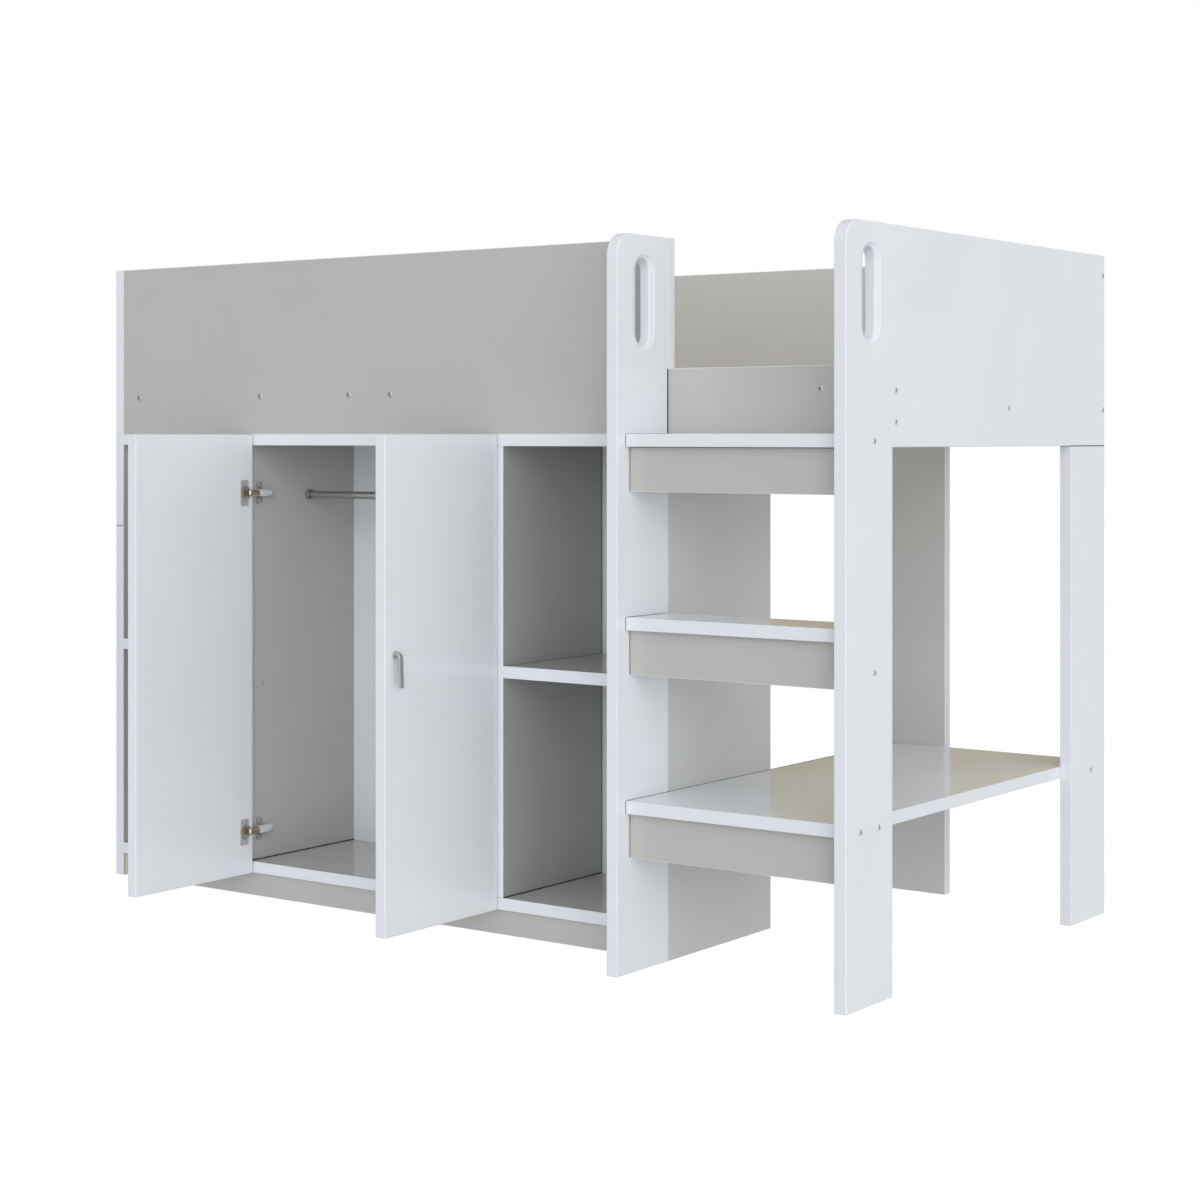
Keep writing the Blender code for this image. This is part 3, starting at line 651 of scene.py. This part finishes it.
LEVER = [  # out from the door, height, half thickness, half width, squareness
    (0.4, 606.0, 5.4, 5.4, 1.0), (7.0, 606.2, 5.1, 5.6, 1.0), (11.5, 605.8, 4.6, 6.0, 0.9),
    (14.4, 604.2, 3.9, 6.2, 0.8), (16.0, 601.0, 3.1, 6.3, 0.7), (16.6, 596.0, 2.5, 6.3, 0.6),
    (17.0, 588.0, 2.2, 6.3, 0.55), (17.6, 572.0, 2.0, 6.1, 0.5), (18.4, 556.0, 1.9, 5.8, 0.5),
    (19.0, 543.5, 1.8, 5.5, 0.5), (19.1, 541.5, 1.5, 5.2, 0.6), (19.15, 540.6, 0.8, 4.4, 0.7)]
for word, side in SIDES.items():
    def on_door(out, height, across):
        return at(OPENING_MIDDLE + side * (OUTER_FACE + out), HANDLE_Y + across, height)

    shape = bmesh.new()
    turned(shape, on_door(0, ROSE_HEIGHT, 0), (side, 0, 0), ROSE)
    for face in shape.faces:
        face.material_index = 1
    sweep(shape, [entry[:2] for entry in LEVER], [entry[2:] for entry in LEVER], on_door)
    piece_from("lever_" + word, shape, "door_" + word, [satin_nickel, rose_finish],
               ["handle_" + word])

# ---- Floor -------------------------------------------------------------------------------
# A plain pale studio floor, wide enough to run out of sight. It gives off its own even white
# and is left out of the light that reaches the bed.
FLOOR_HALF = 40.0
floor_shape = bmesh.new()
bmesh.ops.create_grid(floor_shape, x_segments=1, y_segments=1, size=FLOOR_HALF)
floor_mesh = bpy.data.meshes.new("studio_floor")
floor_shape.to_mesh(floor_mesh)
floor_shape.free()
floor = bpy.data.objects.new("studio_floor", floor_mesh)
bpy.context.scene.collection.objects.link(floor)
floor_finish, floor_shader = new_finish("studio_floor", (0.15, 0.15, 0.15), 0.9)
floor_shader.inputs["Specular IOR Level"].default_value = 0
floor_shader.inputs["Emission Color"].default_value = (1, 1, 1, 1)
floor_shader.inputs["Emission Strength"].default_value = 0.97
floor_mesh.materials.append(floor_finish)
floor.visible_diffuse = False
floor.visible_glossy = False

# ---- Light -------------------------------------------------------------------------------
# A soft white dome, brightest in front of the ladder end so that it reaches into the wardrobe
# and under the bed. Low down behind the bed it turns to a dim room brown.
AROUND = (0.39, 0.39, 0.39)
LADDER_SIDE = (1.10, 1.10, 1.10)
SOFTBOX = (2.6, 2.6, 2.6)
ROOM_BROWN = (0.40, 0.34, 0.19)
world = bpy.data.worlds.new("soft_dome")
world.use_nodes = True
bpy.context.scene.world = world
tree = world.node_tree
tree.nodes.clear()
direction = tree.nodes.new("ShaderNodeTexCoord").outputs["Generated"]
split = tree.nodes.new("ShaderNodeSeparateXYZ")
tree.links.new(direction, split.inputs["Vector"])


def fade(source, start, end):
    """1 at start, 0 at end, eased in between."""
    ease = tree.nodes.new("ShaderNodeMapRange")
    ease.interpolation_type = "SMOOTHSTEP"
    ease.inputs["From Min"].default_value = start
    ease.inputs["From Max"].default_value = end
    ease.inputs["To Min"].default_value = 1
    ease.inputs["To Max"].default_value = 0
    tree.links.new(source, ease.inputs["Value"])
    return ease.outputs["Result"]


def toward(side, full, gone):
    """Share of a direction that lies toward one side."""
    facing = tree.nodes.new("ShaderNodeVectorMath")
    facing.operation = "DOT_PRODUCT"
    facing.inputs[1].default_value = Vector(side).normalized()
    tree.links.new(direction, facing.inputs[0])
    return fade(facing.outputs["Value"], full, gone)


def both(first, second):
    """The product of two shares."""
    product = tree.nodes.new("ShaderNodeMath")
    product.operation = "MULTIPLY"
    tree.links.new(first, product.inputs[0])
    tree.links.new(second, product.inputs[1])
    return product.outputs["Value"]


def blend_to(base, share, color):
    """The base colour, turned into another one by the given share."""
    blend = tree.nodes.new("ShaderNodeMix")
    blend.data_type = "RGBA"
    blend.inputs["B"].default_value = (*color, 1)
    tree.links.new(share, blend.inputs["Factor"])
    if isinstance(base, tuple):
        blend.inputs["A"].default_value = (*base, 1)
    else:
        tree.links.new(base, blend.inputs["A"])
    return blend.outputs["Result"]


glow = blend_to(AROUND, toward((0.78, -0.57, 0.48), 1.0, -0.12), LADDER_SIDE)
glow = blend_to(glow, toward((0.66, -0.75, 0.16), 0.97, 0.81), SOFTBOX)
low_down = both(fade(split.outputs["Z"], 0.20, 0.42), fade(split.outputs["Z"], 0.0, -0.1))
glow = blend_to(glow, both(low_down, toward((-0.50, 0.87, 0), 0.85, 0.55)), ROOM_BROWN)
dome = tree.nodes.new("ShaderNodeBackground")
tree.links.new(glow, dome.inputs["Color"])
paper = tree.nodes.new("ShaderNodeBackground")
paper.inputs["Color"].default_value = (1, 1, 1, 1)
seen = tree.nodes.new("ShaderNodeLightPath")
mix = tree.nodes.new("ShaderNodeMixShader")
out = tree.nodes.new("ShaderNodeOutputWorld")
tree.links.new(seen.outputs["Is Camera Ray"], mix.inputs["Fac"])
tree.links.new(dome.outputs["Background"], mix.inputs[1])
tree.links.new(paper.outputs["Background"], mix.inputs[2])
tree.links.new(mix.outputs["Shader"], out.inputs["Surface"])
bpy.context.scene.view_settings.view_transform = "Standard"

# ---- Camera ------------------------------------------------------------------------------
# Level, 1.03 m above the floor, out beyond the ladder end and turned about 37 degrees from
# square-on to the bed's front. The shifts move the bed to its place in the frame.
camera_data = bpy.data.cameras.new("camera")
camera_data.lens = 70.57
camera_data.sensor_width = 36.0
camera_data.shift_x = 0.0457
camera_data.shift_y = -0.1376
camera = bpy.data.objects.new("camera", camera_data)
camera.location = (3.1085, -4.1695, 1.0332)
camera.rotation_euler = (pi / 2, 0, radians(36.62))
bpy.context.scene.collection.objects.link(camera)
bpy.context.scene.camera = camera
